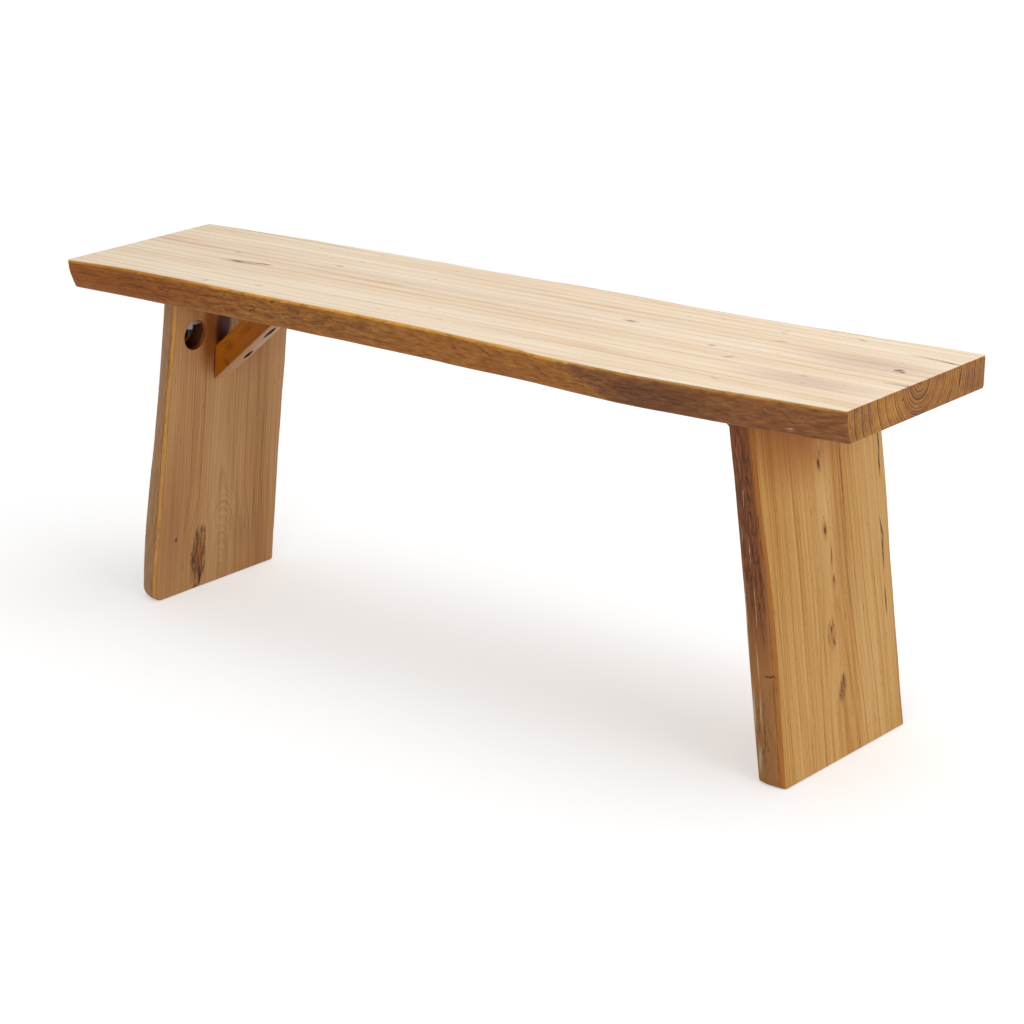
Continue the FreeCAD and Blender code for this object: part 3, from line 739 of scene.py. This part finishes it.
# Legs: two boards, each with both waney edges, cut level at the foot and under the seat
legBoard = {"halfWidth": 125.0, "cells": (4.0, 4.5, 3.0), "endArris": 1.3}
legs = {
    "left": legBoard | {
        "edge": (  # height, then the front edge at its inner face, belly and outer face and the back edge's
            (0.00, 0.902, 0.868, 0.774, 0.926, 0.932, 0.866),
            (0.08, 0.908, 0.876, 0.793, 0.922, 0.928, 0.862),
            (0.21, 0.876, 0.860, 0.789, 0.922, 0.926, 0.860),
            (0.35, 0.840, 0.826, 0.745, 0.926, 0.928, 0.866),
            (0.55, 0.821, 0.786, 0.679, 0.952, 0.950, 0.890),
            (0.72, 0.776, 0.742, 0.642, 0.970, 0.972, 0.906),
            (0.86, 0.746, 0.716, 0.626, 0.984, 0.984, 0.920),
            (1.00, 0.736, 0.704, 0.606, 0.992, 0.990, 0.930),
        ),
        "arris": 3.4, "sway": (0.8, 60, 11.7), "footCorners": (13.0, 3.0), "bark": (0.25, 0.25),
        "hollows": ((0.7, 0.55, (60, 13, 50), 11.7), (0.35, 0.5, (60, 5, 10), 14.7)),
        "split": {"y": (-27, -35, -38, -30), "z": (90, 50, 24, 0), "width": 5.0, "depth": 1.4},
        "finish": elm | {
            "pith": (-446, 7.5, 126), "grainTurn": math.radians(-83.0), "runOut": 0.29, "wander": 7.0,
            "partings": (((-486, -34, 45), 60, 20, 0.85), ((-470, -50, 240), 200, 30, 0.15)),
            "ringWidth": 13.0, "ringDepth": 0.11, "fineDepth": 0.13, "bands": 0.4,
            "tones": ((0.2, "#deb582"), (0.5, "#cf9f69"), (0.7, "#bb854e"), (1.0, "#784a22")),
            "waneyTones": ((0.25, "#855734"), (0.5, "#ac7c4d"), (0.75, "#c89a6a")),
            "barkTones": ((0.25, "#6b4a33"), (0.5, "#876349"), (0.75, "#a07b5d")),
            # painted highlight: the golden tone and strength along the inner arris
            "arrisTone": "#dc9c42", "rubbed": 0.85, "waneyRelief": 1.2,
            "markTones": {"stains": "#8e4a04", "shade": "#451304", "cracked": "#35200f",
                          "pits": "#2a180c", "pales": "#d8b98c"},
        },
        "faceMarks": {
            "stains": (
                # painted shade: the second, fourth and sixth marks are the orange-brown shade between pocket and
                # brace, above the pocket and behind the brace
                (-491, -33, 44, 110, 32, 16, 0.7, 0.5, 0.04), (-457, -24, 362, 160, 62, 18, 0.88, 0.35, 0.06),
                (-488, -84, 110, 420, 90, 20, 0.5, 0.0), (-450, -30, 412, 50, 150, 16, 0.5, 0.2),
                (-489, -77, 81, 16, 11, 8, 0.6, 0.2), (-452, 40, 402, 60, 70, 16, 0.7, 0.2),
            ),
            "shade": (
                # painted shade: dark inside both bolt pockets, behind and above the brace, and a thin dark line
                # along its front edge against the leg
                (-471, -54.3, 366, 62, 62, 32, 0.92, 0.8), (-471, 54.3, 366, 62, 62, 32, 0.92, 0.8),
                (-453, -3, 368, 84, 36, 20, 0.95, 0.5, 0.12), (-452, 28, 388, 70, 40, 16, 0.45, 0.2),
                (-461, -17.5, 318, 64, 4, 14, 0.85, 0.3),
            ),
            "cracked": (
                (-491, -33, 44, 114, 36, 16, 1.0, 0.8, 0.04), (-494, 40, 60, 110, 120, 16, 0.35, 0.0),
            ),
            "pits": (
                (-488, -29, 84, 18, 5, 8, 0.95, 0.3, 0.1), (-488, -22, 80, 22, 4.4, 8, 0.9, 0.3, -0.1),
                (-490, -43, 60, 36, 5, 8, 0.9, 0.3, 0.12), (-493, -43, 42, 30, 7, 8, 0.95, 0.3),
                (-494, -35, 28, 28, 6, 8, 0.85, 0.3, -0.3), (-497, -29, 14, 34, 5.5, 8, 0.95, 0.3, 0.1),
                (-490, -24, 56, 40, 3, 8, 0.8, 0.2, 0.15), (-497, -36, 2, 10, 16, 8, 0.95, 0.3),
                (-489, -77, 81, 6, 5, 6, 0.95, 0.3), (-484, 85, 110, 48, 2.4, 6, 0.85, 0.1, 0.05),
                (-488, 83, 66, 54, 2.4, 6, 0.8, 0.1), (-494, 82, 26, 44, 2.2, 6, 0.7, 0.1),
                (-491, 54, 70, 30, 2, 6, 0.65, 0.1),
            ),
            "pales": ((-487, -32, 50, 26, 4, 8, 0.5, 0.2, 0.1),),
        },
        "edgeMarks": {},
    },
    "right": legBoard | {
        "edge": (
            (0.00, 0.954, 0.990, 0.978, 0.956, 1.000, 1.014),
            (0.08, 0.949, 0.976, 0.962, 0.958, 1.000, 1.011),
            (0.21, 0.938, 0.954, 0.938, 0.968, 1.006, 1.015),
            (0.35, 0.922, 0.934, 0.910, 0.976, 1.010, 1.018),
            (0.55, 0.899, 0.918, 0.896, 1.000, 1.034, 1.042),
            (0.72, 0.893, 0.938, 0.942, 1.014, 1.052, 1.064),
            (0.86, 0.886, 0.942, 0.952, 1.008, 1.048, 1.056),
            (1.00, 0.896, 0.934, 0.938, 0.994, 1.034, 1.042),
        ),
        "arris": 2.0, "sway": (0.8, 60, 23.1), "footCorners": (4.0, 3.0), "bark": (0.35, 0.95),
        "hollows": ((1.3, 0.55, (60, 13, 50), 23.1), (0.35, 0.5, (60, 5, 10), 26.1)),
        "finish": elm | {
            "pith": (428, 6, 200), "grainTurn": math.radians(-97.0), "runOut": -0.03, "wander": 5.0,
            "partings": (((490, 0.5, 269), 40, 9, 0.7), ((476, -1.5, 347), 36, 8, 0.7), ((505, 9, 205), 30, 7, 0.6),
                         ((512, -4, 148), 36, 10, 0.7), ((518, 12, 90), 30, 8, 0.6), ((522, -4, 69), 30, 9, 0.6)),
            "ringWidth": 17.0, "ringDepth": 0.13, "fineDepth": 0.12, "bands": 0.5, "broadTone": 0.5,
            "poreDepth": 0.3,
            "tones": ((0.2, "#e6bd80"), (0.5, "#d6a662"), (0.7, "#c38b41"), (1.0, "#82501f")),
            "waneyTones": ((0.25, "#835222"), (0.5, "#a6713c"), (0.75, "#c4955c")),
            "barkTones": ((0.25, "#4a2412"), (0.45, "#7e4620"), (0.65, "#99592c"), (0.8, "#bf986f")),
            # painted highlight: the tone and strength along the outer arris
            "arrisTone": "#b8691c", "rubbed": 0.8, "waneyRelief": 1.8,
            "markTones": {"stains": "#a85c00", "shade": "#2c1206", "cracked": "#4a2b14",
                          "pits": "#3c200d", "pales": "#dcc59c"},
        },
        "faceMarks": {
            "stains": (
                (490, 0.5, 269, 34, 15, 8, 0.8, 0.1), (481, -1.5, 347, 30, 12, 8, 0.8, 0.1),
                (485, 42, 320, 230, 5, 8, 0.95, 0.3, 0.02), (505, -4, 148, 42, 20, 8, 0.6, 0.0),
                (498, 9, 205, 34, 10, 8, 0.6, 0.1), (514, 8, 80, 46, 20, 8, 0.65, 0.0, 0.3),
                (473, -30, 410, 220, 320, 20, 0.75, 0.15),
            ),
            # painted shade: dark inside both bolt pockets
            "shade": ((457, -54.3, 366, 62, 62, 32, 0.92, 0.8), (457, 54.3, 366, 62, 62, 32, 0.92, 0.8)),
            "cracked": (
                (505, -4, 148, 46, 22, 8, 0.9, 0.5), (514, 8, 80, 44, 20, 8, 0.8, 0.3, 0.3),
                (480, 0, 355, 60, 16, 8, 0.6, 0.2),
            ),
            "pits": (
                (481, -1.5, 347, 16, 5, 6, 0.9, 0.3), (490, 0.5, 269, 12, 6.5, 6, 0.95, 0.3),
                (478, 2.5, 368, 30, 2.8, 6, 0.7, 0.2), (482, 42, 345, 130, 2.6, 6, 0.7, 0.1, 0.02),
                (476, 3, 396, 50, 3, 6, 0.7, 0.1), (481, 122, 343, 44, 4.2, 8, 0.95, 0.3),
                (484, 120, 318, 46, 3.8, 8, 0.95, 0.3, 0.05), (494, 114, 240, 40, 4, 8, 0.95, 0.3, -0.15),
                (497, 113, 215, 56, 3.8, 8, 0.95, 0.3, 0.06), (504, 110, 156, 44, 3.8, 8, 0.9, 0.3),
                (478, 100, 366, 50, 3.6, 8, 0.7, 0.2), (495, 9, 236, 40, 2.8, 6, 0.85, 0.2, 0.06),
                (498, 10, 210, 12, 4.4, 6, 0.85, 0.3), (512, 11, 91, 18, 4.6, 6, 0.9, 0.3, 0.1),
                (513, 12, 84, 10, 4.4, 6, 0.8, 0.3, -0.4), (505, -4, 154, 12, 5, 6, 0.85, 0.3, 0.3),
                (507, -1, 138, 14, 4, 6, 0.8, 0.3, -0.3),
            ),
            "pales": ((478, 2.5, 371, 34, 5, 8, 0.6, 0.1), (488, 6, 292, 44, 6, 8, 0.45, 0.1)),
        },
        "edgeMarks": {
            "stains": ((480, -116, 360, 200, 16, 10, 0.6, 0.1),),
            "cracked": ((466, -116, 300, 330, 34, 40, 0.9, 0.5), (490, -118, 60, 160, 34, 40, 0.6, 0.2)),
            "pits": (
                (453, -114, 345, 60, 34, 3, 0.9, 0.1, 0.05), (460, -114, 325, 44, 34, 3.4, 0.9, 0.2, -0.1),
                (458, -114, 275, 30, 34, 3, 0.85, 0.2, 0.15), (466, -114, 300, 60, 34, 2.4, 0.8, 0.1, 0.1),
                (462, -114, 215, 50, 34, 3, 0.8, 0.1, -0.05), (482, -114, 240, 60, 34, 2.6, 0.7, 0.1),
                (488, -114, 170, 40, 34, 2.4, 0.7, 0.1), (498, -116, 129, 3.4, 34, 20, 0.95, 0.3),
                (494, -118, 60, 40, 34, 2.4, 0.7, 0.1, 0.05), (447, -114, 395, 26, 34, 3.4, 0.85, 0.2, 0.1),
            ),
            "pales": (
                (459, -114, 330, 56, 34, 1.7, 0.6, 0.1, 0.06), (451, -114, 372, 30, 34, 1.6, 0.5, 0.1, -0.1),
                (468, -114, 268, 64, 34, 2.0, 0.6, 0.1, 0.03), (476, -114, 205, 80, 34, 2.2, 0.65, 0.1),
                (481, -114, 140, 90, 34, 2.0, 0.6, 0.1, -0.02), (487, -116, 88, 60, 34, 3.2, 0.6, 0.1, 0.03),
                (464, -114, 190, 170, 34, 3, 0.65, 0.1, 0.02), (478, -116, 80, 90, 34, 6, 0.65, 0.1, 0.04),
                (456, -114, 285, 40, 34, 2.6, 0.45, 0.1, 0.1), (488, -118, 30, 50, 34, 10, 0.6, 0.1, 0.1),
            ),
        },
    },
}


def buildLeg(end):
    leg = legs[end]
    size = (bench["underside"], leg["halfWidth"] * 2, bench["thickness"])
    swell = handEased(leg["arris"], *leg["sway"])
    bm, height, across, depth, facing = easedBlock(size, leg["cells"], leg["arris"], leg["endArris"], swell)
    lean = bench["splay"]
    along = (height - depth * math.sin(lean)) / math.cos(lean)
    curves = outlineCurves(leg["edge"], bench["legBoardLength"])
    front, back = (edgeAt(curves, first, along, depth / bench["thickness"]) * leg["halfWidth"] for first in (1, 4))
    front -= cornerCut(height, leg["footCorners"][0])
    back -= cornerCut(height, leg["footCorners"][1])
    y = -front + (across + 1) / 2 * (front + back)
    waney = np.abs(facing[:, 0])
    frontSide = y < 0
    spots = np.column_stack((np.sign(y) * 60, depth, along))
    y -= np.sign(y) * hollows(spots, leg["hollows"]) * waney
    inner = depth.copy()
    if "split" in leg:
        # a strip of bark grown into the wood has shrunk away from the inner face
        split = leg["split"]
        line = np.interp(height, split["z"][::-1], split["y"][::-1])
        wobble = ripple(np.column_stack((height, y, y * 0)), (14, 9, 1), 5.2)
        nearness = np.exp(-((y - line - wobble * 5) / split["width"]) ** 2) * np.clip((96 - height) / 10, 0, 1)
        inner += np.where(depth < 1, split["depth"] * nearness * (0.6 + wobble), 0)
    x = -inner * math.cos(lean) + along * math.sin(lean) - bench["innerFoot"][end]
    z = np.clip(inner * math.sin(lean) + along * math.cos(lean), 0, bench["underside"])
    placeVerts(bm, x if end == "left" else -x, y, z)
    low, high = leg["bark"]
    bark = low + (high - low) * np.clip((height - 120) / 160, 0, 1)
    if end == "right":
        bark *= np.where(depth > 30, 0.4, 1.0)
    # where the painted highlight runs along the inner or outer arris
    innerArris = np.clip(1.3 - np.abs(depth - 2.8) / 3.6, 0, 1) * np.clip(waney * 2, 0, 1)
    outerArris = np.clip((depth - 31) / 4, 0, 1) * waney
    masks = {"waney": np.clip(waney * 1.5 - 0.5, 0, 1), "bark": np.where(frontSide, bark, 0.3),
             "arris": innerArris if end == "left" else outerArris}
    board = addPiece(end + "Leg", bm, boardFinishes("oiledElm" + end.capitalize() + "Leg", leg, bm, waney), masks)

    # the bolt pockets have a slightly eased rim; the stud bores run up from them
    radius, rim, deep = hardware["pocketRadius"], hardware["rimEase"], hardware["pocketDepth"]
    swing = [math.radians(turn) for turn in (0, 22.5, 45, 67.5, 90)]
    mouth = [(radius + rim - rim * math.cos(turn), rim - rim * math.sin(turn)) for turn in swing]
    profile = [(0, deep), (radius - 1, deep), (radius, deep - 1)] + mouth + [(radius + rim, -6), (0, -6)]
    inward = Matrix.Rotation(math.radians(-90), 4, "Y")
    pockets = [place @ inward for place in boltPlaces(end, 0, hardware["pocketAlong"])]
    bores = rod(hardware["boreRadius"], hardware["pocketAlong"], hardware["boreTop"])
    carve(board, [turnedCutter(profile, pockets, 64), turnedCutter(bores, boltPlaces(end), 24),
                  pilotCutter(end, "leg")])
    finishPiece(board, end + "_leg")
    print(end, "leg:", len(board.data.polygons), "faces")


for end in ("left", "right"):
    buildLeg(end)

# Braces keep one board's elm, turned to their own slope
braceFinish = elm | {
    "pith": (-400, 30, 300), "grainTurn": -bench["braceRise"], "runOut": 0.02, "wander": 4.0,
    "partings": (), "ringWidth": 9.0, "fineRings": 3.0,
    "ringDepth": 0.1, "fineDepth": 0.06, "bands": 0.2, "broadTone": 0.9, "poreDepth": 0.4,
    "tones": ((0.1, "#d58f2c"), (0.45, "#b5680f"), (0.7, "#96510a"), (1.0, "#562b08")),
    # painted light: the underside is painted paler, for the light it gets from the floor and the right
    "paleTones": ((0.1, "#deb892"), (0.45, "#cb9d71"), (0.7, "#b48357"), (1.0, "#7c5531")),
    "paleFacing": (math.sin(bench["braceRise"]), 0, -math.cos(bench["braceRise"])),
    "waneyTones": ((0.25, "#9a5f2b"), (0.8, "#c98e4a")), "barkTones": ((0.25, "#6e4326"), (0.75, "#a27049")),
    # painted highlight: the tone and strength along the stick's arrises
    "arrisTone": "#c98a4a", "rubbed": 0.35, "waneyRelief": 0.6,
    "markTones": {"stains": "#6e3604", "shade": "#1e0b03", "pits": "#331b0c", "pales": "#e3d6c6"},
}
braceMarks = {
    "stains": (
        (-440, -16, 322, 14, 6, 16, 0.6, 0.0), (-400, -16, 372, 50, 8, 14, 0.4, 0.0),
        (-432, -16, 345, 26, 8, 22, 0.5, 0.0), (-372, -16, 398, 36, 8, 18, 0.45, 0.0),
    ),
    # painted shade: dark inside both counterbores
    "shade": ((-423, 5, 333, 28, 15, 15, 0.95, 0.8), (-375, 0, 370, 34, 13, 15, 0.95, 0.75)),
    "pits": (
        (-437, -16.3, 318, 5, 6, 3.4, 0.9, 0.3), (-441, -16.3, 333, 3, 6, 3, 0.7, 0.3),
        (-446, -16.3, 345, 3, 6, 2, 0.6, 0.3),
    ),
    "pales": ((-345, 10, 396, 60, 4, 8, 0.5, 0.1), (-350, -9, 390, 80, 3, 8, 0.4, 0.1)),
}


def mirroredFinish(finish):
    # the right-hand brace is the same stick turned round, so its pattern's places are mirrored
    x, y, z = finish["pith"]
    outX, outY, outZ = finish["paleFacing"]
    return finish | {"pith": (-x, y + 20, z - 12), "grainTurn": math.pi - finish["grainTurn"],
                     "paleFacing": (-outX, outY, outZ)}


def buildBrace(end):
    low, seatLow, seatHigh, high = screwLine(end, "leg")[3].values()
    length = (seatLow - low).length
    thick = (high - low).length * math.cos(bench["braceRise"] + bench["splay"])
    size = (length, brace["width"], thick)
    bm, along, across, down, facing = easedBlock(size, brace["cells"], brace["arris"], brace["endArris"])
    for vert, a, b, side in zip(bm.verts, along / length, down / thick, across):
        spot = low.lerp(seatLow, a).lerp(high.lerp(seatHigh, a), b)
        vert.co = (spot.x, spot.y + side * brace["width"] / 2, spot.z)
    # the arris mask puts a painted highlight on the stick's corners
    masks = {"waney": across * 0, "bark": across * 0, "arris": 2 * np.abs(facing[:, 0] * facing[:, 1])}
    finish, marks = (braceFinish, braceMarks) if end == "left" else (mirroredFinish(braceFinish), {})
    material = elmMaterial("oiledElm" + end.capitalize() + "Brace", finish, marks)
    stick = addPiece(end + "Brace", bm, [material], masks)
    wide, shank = brace["counterbore"], brace["shankHole"]
    for which in ("leg", "seat"):
        place, sink, reach, _ = screwLine(end, which)
        profile = ((0, -12), (wide, -12), (wide, sink - 0.6), (wide - 0.8, sink), (shank, sink), (shank, reach),
                   (0, reach))
        carve(stick, [turnedCutter(profile, [place], 40)])
    finishPiece(stick, end + "_brace")
    print(end, "brace:", len(stick.data.polygons), "faces")


for end in ("left", "right"):
    buildBrace(end)

# Fasteners: zinc-plated steel, die-rolled threads and pressed half-moon washers
fasteners = {
    "studRadius": 4.0, "studFrom": 362.53, "studTo": 447.92, "studPitch": 1.25, "studPoint": 1.0,
    "nutFlats": 13.0, "nutFrom": 372.53, "nutTo": 379.03, "nutBore": 4.1,
    "washerRadius": 19.8, "washerFlat": 379.03, "washerDepth": 19.0, "washerEase": 0.5,
    "screwRadius": 2.25, "screwPitch": 2.4, "headRadius": 4.4, "headHeight": 3.4, "recess": (5.2, 1.1, 2.0),
    # darker and lighter tone, roughness, how far it sways and the scratches' depth
    # the studs' and nuts' tones are darker than bare plate: painted shade of the pockets they sit in
    "zincPlatedSteel": ("#74767a", "#96989b", 0.38, 0.08, 0.01),
    "zincPressedWasher": ("#c4c6c8", "#e2e3e4", 0.38, 0.1, 0.02),
    "blackenedScrewSteel": ("#4a4846", "#6a6765", 0.42, 0.1, 0.01),
    "turnedBrass": ("#b58b3c", "#d9b565", 0.3),
}


def zincMaterial(name):
    # zinc plate: a grey-blue metal with a spangle of 2 to 3 mm and fine handling scratches
    material, node, tree, shader = newMaterial(name)
    dark, light, roughness, sway, scratch = fasteners[name]
    place = node("TexCoord").node.outputs["Object"]
    spangle = node("TexNoise", {"Vector": place, "Scale": 380, "Detail": 2})
    tone = node("ValToRGB", (spangle,), ((0.3, dark), (0.7, light)))
    cell = node("VectorMath MULTIPLY", (place, (2600, 2600, 240)))
    lines = node("TexNoise", {"Vector": cell, "Scale": 1, "Detail": 2})
    rough = node("MapRange", (spangle, 0.0, 1.0, roughness - sway, roughness + sway))
    bump = node("Bump", {"Height": lines, "Distance": scratch * mm, "Strength": 1.0})
    for socket, value in (("Base Color", tone), ("Roughness", rough), ("Normal", bump)):
        tree.links.new(value, shader.inputs[socket])
    shader.inputs["Metallic"].default_value = 1.0
    return material


def trim(bm, cuts):
    # cuts a mesh square at each height, drops what lies beyond and caps it
    for height, way in cuts:
        bmesh.ops.bisect_plane(bm, geom=bm.verts[:] + bm.edges[:] + bm.faces[:], plane_co=(0, 0, height),
                               plane_no=(0, 0, way), clear_outer=True)
    bmesh.ops.holes_fill(bm, edges=bm.edges, sides=0)


def threadedRod(radius, pitch, low, high, steps=24):
    # a real helix: one tooth profile spun round while it climbs by a pitch, then cut square at both ends
    bm = bmesh.new()
    root = radius - 0.61 * pitch if pitch < 2 else radius * 0.68
    verts = []
    for tooth in range(int((high - low) / pitch) + 4):
        base = low - 2 * pitch + tooth * pitch
        verts += [bm.verts.new((root, 0, base)), bm.verts.new((radius, 0, base + pitch / 2))]
    edges = [bm.edges.new(pair) for pair in zip(verts, verts[1:])]
    bmesh.ops.spin(bm, geom=verts + edges, cent=(0, 0, 0), axis=(0, 0, 1), angle=math.tau, steps=steps,
                   dvec=(0, 0, pitch / steps))
    bmesh.ops.remove_doubles(bm, verts=bm.verts, dist=1e-3)
    trim(bm, ((low, -1), (high, 1)))
    return bm


def prism(segments, radius, place, rise):
    bm = bmesh.new()
    bmesh.ops.create_circle(bm, segments=segments, radius=radius, cap_ends=True, matrix=place)
    drawn = bmesh.ops.extrude_face_region(bm, geom=bm.faces[:])["geom"]
    bmesh.ops.translate(bm, verts=[part for part in drawn if isinstance(part, bmesh.types.BMVert)], vec=rise)
    return bm


def buildStud(place, f):
    radius, point, low, high = f["studRadius"], f["studPoint"], f["studFrom"], f["studTo"]
    envelope = ((0, low), (radius - point, low), (radius + 0.02, low + point), (radius + 0.02, high), (0, high))
    bm = threadedRod(radius, f["studPitch"], low - 1, high + 1)
    bm.transform(place)
    return bm, turnedCutter(envelope, [place], 32), "INTERSECT"


def buildNut(place, f):
    # both faces are turned down at 30 degrees and the bore is countersunk
    corner = f["nutFlats"] / 2 / math.cos(math.pi / 6)
    low, high, bore = f["nutFrom"], f["nutTo"], f["nutBore"]
    ring = [(bore, low + 0.6), (bore + 0.6, low), (corner - 1.1, low), (corner + 0.4, low + 0.85),
            (corner + 0.4, high - 0.85), (corner - 1.1, high), (bore + 0.6, high), (bore, high - 0.6),
            (bore, low + 0.6)]
    foot = place @ Matrix.Translation((0, 0, low)) @ Matrix.Rotation(math.radians(30), 4, "Z")
    bm = prism(6, corner, foot, place.to_3x3() @ Vector((0, 0, high - low)))
    return bm, turnedCutter(ring, [place], 64), "INTERSECT"


def buildWasher(place, f):
    depth, flat = f["washerDepth"], f["washerFlat"]
    lying = Matrix.Translation((depth / 2, 0, hardware["pocketAlong"])) @ Matrix.Rotation(math.radians(90), 4, "Y")
    bm = prism(96, f["washerRadius"], lying, (-depth, 0, 0))
    trim(bm, ((flat, -1),))
    bmesh.ops.recalc_face_normals(bm, faces=bm.faces)
    sharp = [edge for edge in bm.edges if edge.calc_face_angle(0) > 0.6]
    bmesh.ops.bevel(bm, geom=sharp, offset=f["washerEase"], segments=2, affect="EDGES", profile=0.5, material=-1)
    bm.transform(place)
    hole = rod(hardware["boreRadius"], flat - 5, flat + 20)
    return bm, turnedCutter(hole, [place], 32), "DIFFERENCE"


def buildScrews(end, finish):
    f = fasteners
    head, low, radius = f["headRadius"], -f["headHeight"], f["screwRadius"]
    neck = radius * 0.95
    profile = ((0, low), (head * 0.55, low + 0.15), (head * 0.86, low + 0.75), (head, low + 1.7), (head, -0.3),
               (head - 0.3, 0), (neck, 0), (neck, 3), (0, 3))
    length, width, deep = f["recess"]
    for which in ("leg", "seat"):
        place, sink, reach, _ = screwLine(end, which)
        seated = place @ Matrix.Translation((0, 0, sink))
        cross = bmesh.new()
        for turn in (0, 90):
            bar = (Matrix.Rotation(math.radians(turn), 4, "Z") @ Matrix.Translation((0, 0, low + deep / 2 - 0.5))
                   @ Matrix.Diagonal((length, width, deep + 1, 1)))
            made = bmesh.ops.create_cube(cross, size=1, matrix=bar)["verts"]
            bmesh.ops.scale(cross, verts=[vert for vert in made if vert.co.z > low], vec=(0.7, 0.7, 1))
            bmesh.ops.transform(cross, matrix=seated, verts=made)
        name = end + which.capitalize()
        screw = turnedCutter(profile, [seated], 40)
        screw.name = screw.data.name = name + "ScrewHead"
        screw.data.materials.append(finish)
        carve(screw, [addPiece("recess", cross, ())], solver="EXACT", use_self=True)
        thread = threadedRod(radius, f["screwPitch"], 2.5, reach - sink)
        thread.transform(seated)
        for piece in (screw, addPiece(name + "ScrewThread", thread, [finish])):
            finishPiece(piece, end + "_brace_" + which + "_screw", 30)


platedSteel, pressedSteel, screwSteel = (
    zincMaterial(name) for name in ("zincPlatedSteel", "zincPressedWasher", "blackenedScrewSteel"))
for end in ("left", "right"):
    for build, name, node, slot, finish, sharpAngle in (
            (buildStud, "Stud", "stud", "bolt_steel", platedSteel, 30),
            (buildNut, "Nut", "nut", "bolt_steel", platedSteel, 20),
            (buildWasher, "Washer", "half_moon_washer", "washer_steel", pressedSteel, 25)):
        for place, which in zip(boltPlaces(end), ("front", "rear")):
            bm, cutter, way = build(place, fasteners)
            piece = addPiece(end + which.capitalize() + name, bm, [finish])
            carve(piece, [cutter], way)
            finishPiece(piece, end + "_" + which + "_" + node, sharpAngle)
    buildScrews(end, screwSteel)
print("fasteners ready")


# Seat inserts stay as the CAD has them, out of sight in the slab: turned brass with tool marks
def brassMaterial():
    material, node, tree, shader = newMaterial("turnedBrass")
    dark, light, roughness = fasteners["turnedBrass"]
    place = node("TexCoord").node.outputs["Object"]
    cell = node("VectorMath MULTIPLY", (place, (300, 300, 3200)))
    toolMarks = node("TexNoise", {"Vector": cell, "Scale": 1, "Detail": 2})
    tone = node("ValToRGB", (toolMarks,), ((0.3, dark), (0.7, light)))
    bump = node("Bump", {"Height": toolMarks, "Distance": 0.02 * mm, "Strength": 1.0})
    tree.links.new(tone, shader.inputs["Base Color"])
    tree.links.new(bump, shader.inputs["Normal"])
    shader.inputs["Metallic"].default_value = 1.0
    shader.inputs["Roughness"].default_value = roughness
    return material


turnedBrass = brassMaterial()
for end in ("left", "right"):
    for which in ("front", "rear"):
        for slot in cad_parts[end + "_" + which + "_seat_insert"].material_slots:
            slot.material = turnedBrass
print("inserts ready")
